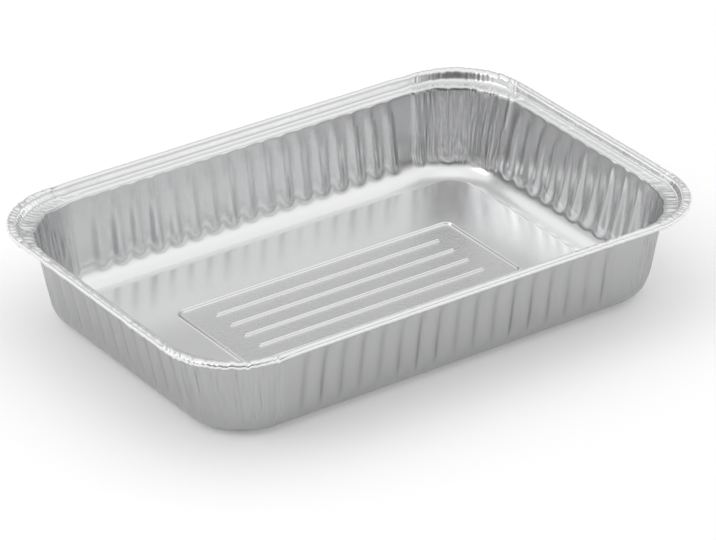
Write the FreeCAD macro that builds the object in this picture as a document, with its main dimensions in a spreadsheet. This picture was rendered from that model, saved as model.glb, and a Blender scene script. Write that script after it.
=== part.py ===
"""Foil drip pan: one sheet of aluminium foil, pressed to shape and curled at its rim.

The floor panel with its stiffening beads is a PartDesign body. The side walls, with their
flutes and gathered corners, and the rim are one folded sheet of even thickness, which no
feature makes, so it is worked out as rings of points and closed into a solid. The two are
fused, because the real pan is one piece. The origin is the centre of the base on the
table, X runs along the pan and Z is up. Everything is in millimetres.
"""
import FreeCAD
import Part
import math
import os
import Sketcher

from FreeCAD import Placement, Rotation, Vector

doc = FreeCAD.newDocument("foil_drip_pan")

# ---------------------------------------------------------------------------
# Driving dimensions: alias, value, meaning
# ---------------------------------------------------------------------------
SIZES = [
    ("foil", 0.1, "thickness of the foil"),
    ("rim_length", 218.0, "over the curled rim, along X"),
    ("rim_width", 150.0, "over the curled rim, along Y"),
    ("rim_corner", 28.5, "corner radius of the rim's outer edge"),
    ("rim_reach", 6.9, "rim's outer edge to the top of the wall, in plan"),
    ("rim_rise", 5.0, "top of the wall up to the top of the curl"),
    ("pan_height", 38.0, "table to the top of the curl"),
    ("curl_radius", 1.35, "outer radius of the rolled edge"),
    ("curl_turn", 280.0, "degrees that the edge is rolled through"),
    ("upstand_height", 2.6, "ledge up to where the edge starts to roll"),
    ("upstand_lean", 0.8, "how far the upstand leans out, in plan"),
    ("shoulder", 0.9, "size of the rounded shoulder between ledge and wall"),
    ("side_lean", 7.0, "degrees that the long walls lean out from upright"),
    ("end_lean", 12.0, "degrees that the short walls lean out from upright"),
    ("wall_corner", 28.0, "corner radius at the top of the wall"),
    ("base_corner", 14.8, "corner radius of the flat base, inside the bend"),
    ("side_bend", 11.2, "radius of the bend between base and long wall"),
    ("end_bend", 8.6, "radius of the bend between base and short wall"),
    ("gutter_side", 0.6, "flat of the base ring along the long walls"),
    ("gutter_end", 1.9, "flat of the base ring along the short walls"),
    ("gutter_tighter", 3.0, "base ring's outer corner radius, less its inner one"),
    ("panel_rise", 3.0, "floor panel above the base ring"),
    ("panel_slope", 1.2, "plan width of the slope up to the floor panel"),
    ("panel_seam", 1.0, "flat margin where wall sheet and floor panel run together"),
    ("flute_pitch", 8.0, "spacing of the flutes"),
    ("flutes_long", 17, "flutes on each long wall"),
    ("flutes_short", 10, "flutes on each short wall"),
    ("flute_gap", 0.8, "width of the narrow rib between two flutes"),
    ("flute_foot", 2.9, "height where the flutes die out"),
    ("flute_full", 8.5, "height where the flutes are deepest"),
    ("flute_depth", 1.1, "depth of a flute where it is deepest"),
    ("flute_depth_top", 0.3, "depth of a flute at the top of the wall"),
    ("flank_angle", 42.0, "degrees between a flute's flank and the wall"),
    ("corner_pleats", 13, "pleats in the foil around each corner"),
    ("pleat_depth", 0.55, "depth of the corner pleats"),
    ("crimp_depth", 0.25, "height of the crimps in the ledge around a corner"),
    ("frame_length", 118.5, "stiffening frame on the floor, bead centre, along X"),
    ("frame_width", 46.0, "stiffening frame on the floor, bead centre, along Y"),
    ("frame_corner", 3.0, "corner radius of the frame, at the bead's centre"),
    ("rib_length", 96.0, "straight beads inside the frame, end centre to end centre"),
    ("rib_pitch", 9.0, "spacing of the straight beads"),
    ("ribs", 4, "number of straight beads"),
    ("bead_width", 1.5, "width of the pressed beads"),
    ("bead_rise", 0.6, "height of the pressed beads above the floor"),
    ("bead_bevel", 0.4, "slope along both edges of a bead's top"),
]

# How far the edges of the flat base and of the floor panel lie inside the rim's outer
# edge: rim, leaning wall and bend, then the slope up to the panel.
BASE_INSET = ("(rim_reach + (pan_height - rim_rise - foil) * tan({0}_lean * 1 deg)"
              " + {0}_bend * tan(45 deg - {0}_lean * 0.5 deg))")
WORKED_OUT = [
    ("end_inset", "=" + BASE_INSET.format("end"), "rim's edge to the flat base, along X"),
    ("side_inset", "=" + BASE_INSET.format("side"), "rim's edge to the flat base, along Y"),
    ("panel_length", "=rim_length - 2 * (end_inset + gutter_end + panel_slope)",
     "top of the floor panel, along X"),
    ("panel_width", "=rim_width - 2 * (side_inset + gutter_side + panel_slope)",
     "top of the floor panel, along Y"),
    ("panel_corner", "=base_corner - gutter_tighter - panel_slope",
     "corner radius of the floor panel"),
]

sheet = doc.addObject("Spreadsheet::Sheet", "sizes")
for row, (alias, value, meaning) in enumerate(SIZES + WORKED_OUT, start=1):
    sheet.set(f"A{row}", alias)
    sheet.set(f"B{row}", str(value))
    sheet.set(f"C{row}", meaning)
    sheet.setAlias(f"B{row}", alias)
doc.recompute()


def size(alias):
    """The value that a cell of the sheet holds."""
    return float(sheet.get(alias))


# ---------------------------------------------------------------------------
# The pressed section: nodes from the floor panel out to the end of the curl
# ---------------------------------------------------------------------------
FACETS_PER_CORNER = 12      # flats around a plain corner
BEND_FACETS = 3             # flats around the bend, up to the foot of the flutes
CURL_FACET = 45             # degrees between the flats of the rolled edge
CORNERS = 4


class Node:
    """One ring of the sheet's upper face: a rounded rectangle at one height.

    along and across are half its length and half its width. flank is the width of a
    flute's sloping side, and flute, pleat and crimp are the depths of the folds that the
    ring carries: flutes in the straight walls, pleats pushed in around the corners and
    crimps lifted around the corners.
    """

    def __init__(self, along, across, corner, level, flank=0.0, flute=0.0, pleat=0.0,
                 crimp=0.0):
        self.along = along
        self.across = across
        self.corner = corner
        self.level = level
        self.flank = flank
        self.flute = flute
        self.pleat = pleat
        self.crimp = crimp

    def moved(self, outward, upward):
        """The same ring moved outward in plan and upward."""
        return Node(self.along + outward, self.across + outward, self.corner + outward,
                    self.level + upward, self.flank, self.flute, self.pleat, self.crimp)


def between(start, end, share):
    """The value that lies that share of the way from start to end."""
    return start + (end - start) * share


def wall_inset(wall, level):
    """How far a wall's inner face lies inside the rim's outer edge at that height.

    wall is "side" for the long walls and "end" for the short ones. Below, the face follows
    the bend from the flat base, and above it leans straight out.
    """
    lean = math.radians(size(f"{wall}_lean"))
    bend = size(f"{wall}_bend")
    climb = level - size("foil")
    if climb < bend * (1 - math.sin(lean)):
        return size(f"{wall}_inset") - bend * math.sin(math.acos(1 - climb / bend))
    wall_level = size("pan_height") - size("rim_rise")
    return size("rim_reach") + (wall_level - level) * math.tan(lean)


def wall_levels():
    """Heights of the wall's rings, from the first one of the bend to the top of the wall.

    Rings are evenly turned around the bend up to the flutes' foot, and the flutes carry on
    from there to the top.
    """
    foot, full = size("flute_foot"), size("flute_full")
    bend = size("side_bend")
    whole_turn = math.acos(1 - (foot - size("foil")) / bend)
    turns = [whole_turn * step / BEND_FACETS for step in range(1, BEND_FACETS)]
    bends = [size("foil") + bend * (1 - math.cos(turn)) for turn in turns]
    return bends + [foot, full, size("pan_height") - size("rim_rise")]


def section_nodes():
    """The upper face of the sheet, as nodes from the floor margin to the curl's end."""
    foil = size("foil")
    half_length = size("rim_length") / 2
    half_width = size("rim_width") / 2
    wall_level = size("pan_height") - size("rim_rise")
    lean = math.tan(math.radians(size("side_lean")))
    pleat = size("pleat_depth")

    def rim_node(inset, level, **folds):
        corner = between(size("rim_corner"), size("wall_corner"), inset / size("rim_reach"))
        return Node(half_length - inset, half_width - inset, corner, level, **folds)

    def wall_node(level, **folds):
        end, side = wall_inset("end", level), wall_inset("side", level)
        inward = (end + side) / 2 - size("rim_reach")
        whole = (size("end_inset") + size("side_inset")) / 2 - size("rim_reach")
        corner = between(size("wall_corner"), size("base_corner"), inward / whole)
        return Node(half_length - end, half_width - side, corner, level, **folds)

    # Base: from the floor panel down its slope to the ring, out to the bend.
    panel_edge = Node(size("panel_length") / 2, size("panel_width") / 2,
                      size("panel_corner"), foil + size("panel_rise"))
    ring_inner = panel_edge.moved(size("panel_slope"), -size("panel_rise"))
    nodes = [panel_edge.moved(-size("panel_seam"), 0), panel_edge, ring_inner, wall_node(foil)]

    # Wall: round the bend and up to the shoulder, fluted from the flutes' foot.
    flank = 1 / math.tan(math.radians(size("flank_angle")))
    deep, shallow = size("flute_depth"), size("flute_depth_top")
    foot, full = size("flute_foot"), size("flute_full")
    for level in wall_levels():
        if level < foot:
            nodes.append(wall_node(level))
        elif level == foot:
            nodes.append(wall_node(level, flank=deep * flank))
        else:
            depth = between(deep, shallow, (level - full) / (wall_level - full))
            nodes.append(wall_node(level, flank=depth * flank, flute=depth, pleat=pleat))

    # Rim: the rounded shoulder, the crimped ledge, the upstand and the rolled edge, which
    # starts where the upstand touches the curl's circle.
    curl = size("curl_radius")
    curl_level = size("pan_height") - curl
    roll_start = math.pi - math.atan2(size("upstand_lean"), size("upstand_height"))
    roll_inset = curl - curl * math.cos(roll_start)
    roll_level = curl_level + curl * math.sin(roll_start)
    shoulder_inset = size("rim_reach") - size("shoulder") * (1 + lean) / 2
    crease_inset = roll_inset + size("upstand_lean")
    shoulder_level = wall_level + size("shoulder")
    crease_level = roll_level - size("upstand_height")
    nodes += [
        rim_node(shoulder_inset, shoulder_level, pleat=pleat / 2),
        rim_node(between(shoulder_inset, crease_inset, 0.5),
                 between(shoulder_level, crease_level, 0.5), crimp=size("crimp_depth")),
        rim_node(crease_inset, crease_level),
    ]
    for turn in curl_turns(math.degrees(roll_start)):
        nodes.append(rim_node(curl - curl * math.cos(turn), curl_level + curl * math.sin(turn)))
    return nodes


def curl_turns(start):
    """Angles of the curl's facets, in radians, with one at its top and at its outside."""
    end = start - size("curl_turn")
    whole_steps = range(180, -360, -CURL_FACET)
    inner = [turn for turn in whole_steps
             if end + CURL_FACET / 4 < turn < start - CURL_FACET / 4]
    return [math.radians(turn) for turn in [start] + inner + [end]]


def under_face(nodes, foil):
    """The lower face of the sheet: every node set back square to the section by the foil."""
    normals = []
    for near, far in zip(nodes, nodes[1:]):
        outward = far.across - near.across
        upward = far.level - near.level
        length = math.hypot(outward, upward)
        normals.append((upward / length, -outward / length))
    lower = []
    for index, node in enumerate(nodes):
        before = normals[max(index - 1, 0)]
        after = normals[min(index, len(normals) - 1)]
        fold = 1 + before[0] * after[0] + before[1] * after[1]
        lower.append(node.moved(foil * (before[0] + after[0]) / fold,
                                foil * (before[1] + after[1]) / fold))
    return lower


# ---------------------------------------------------------------------------
# Rings of points and the faces between them
# ---------------------------------------------------------------------------
def flute_points(run, node, count):
    """Points of one fluted wall, as (place along the wall, push into the pan).

    Only flutes that fit on the wall's straight run, which is that half length, are made.
    """
    pitch = size("flute_pitch")
    half_base = (pitch - size("flute_gap")) / 2
    points = []
    for index in range(count):
        middle = (index - (count - 1) / 2) * pitch
        if abs(middle) + half_base < run:
            points += [
                (middle - half_base, 0.0),
                (middle - half_base + node.flank, node.flute),
                (middle + half_base - node.flank, node.flute),
                (middle + half_base, 0.0),
            ]
    return points


def ring_points(node):
    """The ring's corners as (place around the pan, point), anticlockwise from the +X wall.

    The place counts walls and corners from the +X wall, with a share of each, so that
    rings of different sizes can be joined in step.
    """
    folded = node.pleat > 0 or node.crimp > 0
    steps = 2 * int(size("corner_pleats")) if folded else FACETS_PER_CORNER
    straights = (node.across - node.corner, node.along - node.corner)
    halves = (node.along, node.across)
    counts = (int(size("flutes_short")), int(size("flutes_long")))
    points = []
    for side in range(CORNERS):
        turn = Rotation(Vector(0, 0, 1), 90 * side)
        run = straights[side % 2]
        reach = halves[side % 2]
        if node.flank > 0:
            span = (counts[side % 2] + 1) * size("flute_pitch")
            for place, push in flute_points(run, node, counts[side % 2]):
                point = turn.multVec(Vector(reach - push, place, node.level))
                points.append((2 * side + 0.5 + place / span, point))
        centre = Vector(reach - node.corner, run, node.level)
        for step in range(steps + 1):
            angle = math.radians(90) * step / steps
            inner = folded and step % 2 == 1
            radius = node.corner - (node.pleat if inner else 0.0)
            lift = node.crimp if inner else 0.0
            point = centre + Vector(radius * math.cos(angle), radius * math.sin(angle), lift)
            points.append((2 * side + 1 + step / steps, turn.multVec(point)))
    return points


def flat_face(corners):
    """A flat face with those corners."""
    return Part.Face(Part.makePolygon(corners + corners[:1]))


def is_flat(corners):
    """Whether four points lie in one plane."""
    normal = (corners[1] - corners[0]).cross(corners[2] - corners[0])
    return abs(normal.dot(corners[3] - corners[0])) < 1e-7 * max(normal.Length, 1e-9)


def faces_between(first, second):
    """Faces that join two rings, in step around the pan."""
    faces = []
    round_trip = 2 * CORNERS
    first = first + [(first[0][0] + round_trip, first[0][1])]
    second = second + [(second[0][0] + round_trip, second[0][1])]
    i = 0
    j = 0
    while i < len(first) - 1 or j < len(second) - 1:
        here, there = first[i][1], second[j][1]
        next_first = first[i + 1] if i < len(first) - 1 else None
        next_second = second[j + 1] if j < len(second) - 1 else None
        if next_first and next_second:
            quad = [here, next_first[1], next_second[1], there]
            in_step = abs(next_first[0] - next_second[0]) < 0.02
            if in_step and is_flat(quad):
                faces.append(flat_face(quad))
                i += 1
                j += 1
                continue
        if next_second is None or (next_first and next_first[0] <= next_second[0]):
            faces.append(flat_face([here, next_first[1], there]))
            i += 1
        else:
            faces.append(flat_face([here, next_second[1], there]))
            j += 1
    return faces


def folded_sheet():
    """The walls and the rim as one closed solid of even thickness.

    Both faces of the sheet are joined in the same order, so that their creases run side
    by side and never cross.
    """
    nodes = section_nodes()
    upper = [ring_points(node) for node in nodes]
    lower = [ring_points(node) for node in under_face(nodes, size("foil"))]
    faces = faces_between(lower[0], upper[0]) + faces_between(upper[-1], lower[-1])
    for side in (upper, lower):
        for first, second in zip(side, side[1:]):
            faces += faces_between(first, second)
    shell = Part.Shell(faces)
    shell.sewShape()
    solid = Part.Solid(shell)
    if solid.Volume < 0:
        solid.reverse()
    return solid


wall_and_rim = doc.addObject("Part::Feature", "wall_and_rim")
wall_and_rim.Shape = folded_sheet()
wall_and_rim.Placement = Placement()


# ---------------------------------------------------------------------------
# Floor panel with its pressed beads
# ---------------------------------------------------------------------------
START_POINT, END_POINT, CENTRE_POINT = 1, 2, 3      # points of a sketch's line or arc
ORIGIN = (-1, 1)                                    # the sketch's own origin
Y_AXIS = -2


def floor_sketch(body, name):
    """A sketch of that body, flat at the underside of the floor panel."""
    sketch = body.newObject("Sketcher::SketchObject", name)
    plane = [item for item in body.Origin.OriginFeatures if item.Role == "XY_Plane"][0]
    sketch.AttachmentSupport = [(plane, "")]
    sketch.MapMode = "FlatFace"
    sketch.setExpression("AttachmentOffset.Base.z", "sizes.panel_rise")
    return sketch


def bind(sketch, constraint, name, expression):
    """Add a constraint to the sketch and bind it to the sheet."""
    index = sketch.addConstraint(constraint)
    sketch.renameConstraint(index, name)
    sketch.setExpression(f"Constraints.{name}", expression)


def draw_rounded_rectangle(sketch, name, along, across, corner):
    """A rounded rectangle around the origin. The three sizes are expressions."""
    half_x, half_y, radius = 50.0, 30.0, 5.0        # a start, which the constraints move
    line_x, line_y = half_x - radius, half_y - radius
    flat = Vector(0, 0, 1)
    lines = [
        Part.LineSegment(Vector(-line_x, -half_y, 0), Vector(line_x, -half_y, 0)),
        Part.LineSegment(Vector(half_x, -line_y, 0), Vector(half_x, line_y, 0)),
        Part.LineSegment(Vector(line_x, half_y, 0), Vector(-line_x, half_y, 0)),
        Part.LineSegment(Vector(-half_x, line_y, 0), Vector(-half_x, -line_y, 0)),
    ]
    centres = [Vector(line_x, -line_y, 0), Vector(line_x, line_y, 0),
               Vector(-line_x, line_y, 0), Vector(-line_x, -line_y, 0)]
    first = sketch.GeometryCount
    for line in lines:
        sketch.addGeometry(line)
    for index, centre in enumerate(centres):
        start = math.radians(90 * index - 90)
        circle = Part.Circle(centre, flat, radius)
        sketch.addGeometry(Part.ArcOfCircle(circle, start, start + math.pi / 2))
    arc = first + CORNERS
    for index in range(CORNERS):
        following = first + (index + 1) % CORNERS
        sketch.addConstraint(Sketcher.Constraint(
            "Tangent", first + index, END_POINT, arc + index, START_POINT))
        sketch.addConstraint(Sketcher.Constraint(
            "Tangent", arc + index, END_POINT, following, START_POINT))
        direction = "Vertical" if index % 2 else "Horizontal"
        sketch.addConstraint(Sketcher.Constraint(direction, first + index))
    for index in range(1, CORNERS):
        sketch.addConstraint(Sketcher.Constraint("Equal", arc, arc + index))
    sketch.addConstraint(Sketcher.Constraint(
        "Symmetric", arc, CENTRE_POINT, arc + 2, CENTRE_POINT, *ORIGIN))
    bind(sketch, Sketcher.Constraint("Radius", arc, radius), f"{name}_corner", corner)
    bind(sketch, Sketcher.Constraint(
        "DistanceX", first + 3, START_POINT, first + 1, START_POINT, 2 * half_x),
        f"{name}_along", along)
    bind(sketch, Sketcher.Constraint(
        "DistanceY", first, START_POINT, first + 2, START_POINT, 2 * half_y),
        f"{name}_across", across)


def draw_slot(sketch, name, place, length, width):
    """A slot along X whose centre line lies at that place. All sizes are expressions."""
    half, radius, offset = 40.0, 1.0, 4.0 * sketch.GeometryCount      # a start
    flat = Vector(0, 0, 1)
    lower = Part.LineSegment(Vector(-half, offset - radius, 0), Vector(half, offset - radius, 0))
    upper = Part.LineSegment(Vector(half, offset + radius, 0), Vector(-half, offset + radius, 0))
    right = Part.Circle(Vector(half, offset, 0), flat, radius)
    left = Part.Circle(Vector(-half, offset, 0), flat, radius)
    first = sketch.GeometryCount
    sketch.addGeometry(lower)
    sketch.addGeometry(Part.ArcOfCircle(right, -math.pi / 2, math.pi / 2))
    sketch.addGeometry(upper)
    sketch.addGeometry(Part.ArcOfCircle(left, math.pi / 2, 3 * math.pi / 2))
    for index in range(CORNERS):
        following = first + (index + 1) % CORNERS
        sketch.addConstraint(Sketcher.Constraint(
            "Tangent", first + index, END_POINT, following, START_POINT))
    sketch.addConstraint(Sketcher.Constraint("Equal", first + 1, first + 3))
    sketch.addConstraint(Sketcher.Constraint(
        "Symmetric", first, START_POINT, first, END_POINT, Y_AXIS))
    bind(sketch, Sketcher.Constraint("DistanceX", first, START_POINT, first, END_POINT, 2 * half),
         f"{name}_length", length)
    bind(sketch, Sketcher.Constraint(
        "DistanceY", first, END_POINT, first + 2, START_POINT, 2 * radius),
        f"{name}_width", width)
    bind(sketch, Sketcher.Constraint("DistanceY", *ORIGIN, first + 1, CENTRE_POINT, offset),
         f"{name}_place", place)


def draw_beads(sketch, width):
    """The frame and the straight beads at that width, which is an expression."""
    for name, sign in (("outer", "+"), ("inner", "-")):
        draw_rounded_rectangle(
            sketch, f"frame_{name}",
            f"sizes.frame_length {sign} {width}",
            f"sizes.frame_width {sign} {width}",
            f"sizes.frame_corner {sign} {width} / 2")
    count = int(size("ribs"))
    for index in range(count):
        draw_slot(sketch, f"rib_{index}", f"sizes.rib_pitch * {index - (count - 1) / 2}",
                  "sizes.rib_length", width)


def edges_at(feature, level):
    """Names of the feature's edges that lie flat at that height."""
    names = []
    for number, edge in enumerate(feature.Shape.Edges, start=1):
        box = edge.BoundBox
        if abs(box.ZMin - level) < 1e-4 and abs(box.ZMax - level) < 1e-4:
            names.append(f"Edge{number}")
    return names


def crowned_beads(body, outline, name, width, height, bevel):
    """Pad the beads on their outline and slope their tops. The sizes are expressions."""
    draw_beads(outline, width)
    beads = body.newObject("PartDesign::Pad", name)
    beads.Profile = outline
    beads.setExpression("Length", height)
    doc.recompute()
    crowns = body.newObject("PartDesign::Chamfer", f"{name}_crowns")
    crowns.Base = (beads, edges_at(beads, beads.Shape.BoundBox.ZMax))
    crowns.setExpression("Size", bevel)
    doc.recompute()


floor_panel = doc.addObject("PartDesign::Body", "floor_panel")
plate_outline = floor_sketch(floor_panel, "plate_outline")
draw_rounded_rectangle(plate_outline, "plate", "sizes.panel_length - sizes.panel_seam",
                       "sizes.panel_width - sizes.panel_seam",
                       "sizes.panel_corner - sizes.panel_seam / 2")
plate = floor_panel.newObject("PartDesign::Pad", "plate")
plate.Profile = plate_outline
plate.setExpression("Length", "sizes.foil")
crowned_beads(floor_panel, floor_sketch(floor_panel, "bead_outline"), "beads",
              "sizes.bead_width", "sizes.bead_rise + sizes.foil", "sizes.bead_bevel")

bead_hollows = doc.addObject("PartDesign::Body", "bead_hollows")
crowned_beads(bead_hollows, floor_sketch(bead_hollows, "hollow_outline"), "hollows",
              "(sizes.bead_width - 2 * sizes.foil)", "sizes.bead_rise",
              "sizes.bead_bevel - sizes.foil * tan(22.5 deg)")

pressed_floor = doc.addObject("Part::Cut", "pressed_floor")
pressed_floor.Base = floor_panel
pressed_floor.Tool = bead_hollows
doc.recompute()

# ---------------------------------------------------------------------------
# One piece
# ---------------------------------------------------------------------------
pan = doc.addObject("Part::MultiFuse", "pan")
pan.Label = "drip_pan"
pan.Shapes = [wall_and_rim, pressed_floor]
pan.Refine = True
pan.Placement = Placement()
doc.recompute()

for item in doc.Objects:
    if "Invalid" in item.State or "Error" in item.State:
        raise RuntimeError(f"{item.Name} failed: {item.State}")
if pan.Shape.isNull() or not pan.Shape.isValid() or len(pan.Shape.Solids) != 1:
    raise RuntimeError("the pan is not one valid solid")

os.makedirs("parts", exist_ok=True)
pan.Shape.exportStep(f"parts/{pan.Label}.step")
print(f"{pan.Label}: {len(pan.Shape.Faces)} faces, volume {pan.Shape.Volume:.1f} mm3")
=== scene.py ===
"""Foil drip pan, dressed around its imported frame.

The pan is one sheet of aluminium foil. Its visible skin is grown ring by ring from the
edge of the floor panel out to the rolled rim, with the flutes, the gathered corners and
the crimped ledge in its mesh, and the floor panel's stiffening beads are filled in last.
"""
import logging
import math
import random
from dataclasses import dataclass, field
from enum import Enum
from typing import Any

import bmesh
import bpy
from mathutils import Matrix, Vector, noise


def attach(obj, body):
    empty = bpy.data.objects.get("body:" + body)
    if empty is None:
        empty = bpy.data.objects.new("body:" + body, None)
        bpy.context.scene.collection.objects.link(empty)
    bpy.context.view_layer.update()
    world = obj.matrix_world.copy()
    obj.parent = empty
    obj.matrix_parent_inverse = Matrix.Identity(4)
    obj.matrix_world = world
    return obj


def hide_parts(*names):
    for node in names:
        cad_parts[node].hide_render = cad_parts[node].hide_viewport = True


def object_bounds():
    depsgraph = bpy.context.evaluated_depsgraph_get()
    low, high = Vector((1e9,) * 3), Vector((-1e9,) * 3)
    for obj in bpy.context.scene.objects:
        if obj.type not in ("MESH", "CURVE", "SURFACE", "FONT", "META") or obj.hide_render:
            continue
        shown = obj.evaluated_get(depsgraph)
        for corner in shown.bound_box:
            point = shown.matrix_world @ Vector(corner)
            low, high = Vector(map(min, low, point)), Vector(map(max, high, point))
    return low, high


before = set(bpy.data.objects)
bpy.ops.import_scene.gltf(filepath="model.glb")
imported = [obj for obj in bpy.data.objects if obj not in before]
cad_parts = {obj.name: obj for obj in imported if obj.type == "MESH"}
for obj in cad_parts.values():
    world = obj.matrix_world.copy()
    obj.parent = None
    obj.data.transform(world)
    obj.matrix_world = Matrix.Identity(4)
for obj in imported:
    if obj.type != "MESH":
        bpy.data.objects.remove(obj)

LOG = logging.getLogger("drip_pan")
MM = 0.001
CAD_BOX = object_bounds()
FRAME_NODE = "drip_pan"
UP = Vector((0.0, 0.0, 1.0))
Loop = tuple[float, float, float, float]
Stops = tuple[tuple[float, float], ...]


# ==== Small tools ====
def between(start: float, end: float, share: float) -> float:
    """Return the value that lies that share of the way from start to end."""
    return start + (end - start) * share


def smooth_step(low: float, high: float, value: float) -> float:
    """Go smoothly from 0 to 1.

    Args:
        low: The value at which the result is 0, which may be above the other.
        high: The value at which the result is 1.
        value: The value to judge.

    Returns:
        A number from 0 to 1.
    """
    share = min(max((value - low) / (high - low), 0.0), 1.0)
    return share * share * (3.0 - 2.0 * share)


def deselect_all() -> None:
    """Leave nothing selected, so that an operator acts on new work alone."""
    bpy.ops.object.select_all(action="DESELECT")


class Maths(Enum):
    """The Math operations that the finishes use."""

    ADD = "ADD"
    SUBTRACT = "SUBTRACT"
    MULTIPLY = "MULTIPLY"
    MAXIMUM = "MAXIMUM"
    MINIMUM = "MINIMUM"
    ABSOLUTE = "ABSOLUTE"


class Shader:
    """A material's or world's node tree, filled through one method."""

    def __init__(self, tree: bpy.types.NodeTree) -> None:
        """Take over a tree and clear it."""
        self.tree = tree
        tree.nodes.clear()

    def node(self, kind: str, settings: dict[str, Any] | None = None,
             **inputs: Any) -> bpy.types.Node:
        """Add a node, its settings first and its sockets after.

        Args:
            kind: The node's type name.
            settings: Values for the node's own properties, and a ramp's stops.
            **inputs: Values or links by socket name, with _ for a blank and a
                trailing number for a socket's place.

        Returns:
            The new node.
        """
        made = self.tree.nodes.new(kind)
        for name, value in (settings or {}).items():
            if name == "stops":
                self._set_stops(made.color_ramp, value)
            else:
                setattr(made, name, value)
        for name, value in inputs.items():
            key: int | str = int(name[1:]) if name[1:].isdigit() else name.replace("_", " ")
            self.feed(made.inputs[key], value)
        return made

    @staticmethod
    def _set_stops(ramp: bpy.types.ColorRamp, stops: Stops) -> None:
        """Give a ramp its grey stops as (place, brightness)."""
        for index, (place, grey) in enumerate(stops):
            stop = ramp.elements[index] if index < 2 else ramp.elements.new(place)
            stop.position = place
            stop.color = (grey, grey, grey, 1.0)

    def feed(self, socket: bpy.types.NodeSocket, value: Any) -> None:
        """Link a socket to a Value, or set it to a constant."""
        if isinstance(value, Value):
            self.tree.links.new(value.socket, socket)
        elif isinstance(value, bpy.types.NodeSocket):
            self.tree.links.new(value, socket)
        else:
            socket.default_value = value


class Value:
    """A number on a socket, with arithmetic that adds Math nodes."""

    def __init__(self, shader: Shader, socket: bpy.types.NodeSocket) -> None:
        """Wrap a socket of that shader."""
        self.shader = shader
        self.socket = socket

    def _maths(self, operation: Maths, first: Any, second: Any = 0.0) -> "Value":
        """Add a Math node on two numbers and return its result."""
        made = self.shader.node("ShaderNodeMath", {"operation": operation.value},
                                _0=first, _1=second)
        return Value(self.shader, made.outputs[0])

    def __add__(self, other: Any) -> "Value":
        """Return self + other."""
        return self._maths(Maths.ADD, self, other)

    __radd__ = __add__

    def __sub__(self, other: Any) -> "Value":
        """Return self - other."""
        return self._maths(Maths.SUBTRACT, self, other)

    def __rsub__(self, other: Any) -> "Value":
        """Return other - self."""
        return self._maths(Maths.SUBTRACT, other, self)

    def __mul__(self, other: Any) -> "Value":
        """Return self * other."""
        return self._maths(Maths.MULTIPLY, self, other)

    __rmul__ = __mul__

    def __abs__(self) -> "Value":
        """Return the size of self."""
        return self._maths(Maths.ABSOLUTE, self)

    def at_most(self, other: Any) -> "Value":
        """Return the smaller of self and other."""
        return self._maths(Maths.MINIMUM, self, other)

    def at_least(self, other: Any) -> "Value":
        """Return the larger of self and other."""
        return self._maths(Maths.MAXIMUM, self, other)

    def over(self, width: float) -> "Value":
        """Return self as a share of a width, kept from 0 to 1."""
        return (self * (1 / width)).at_least(0.0).at_most(1.0)

    def ramp(self, *stops: tuple[float, float]) -> "Value":
        """Return self read off a ramp of (place, brightness) stops."""
        made = self.shader.node("ShaderNodeValToRGB", {"stops": stops}, Fac=self)
        return Value(self.shader, made.outputs["Color"])


# ==== Finishes ====
class FoilSide(Enum):
    """The two sides that rolled foil has."""

    BRIGHT = "bright"
    MATT = "matt_and_shade"


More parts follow.
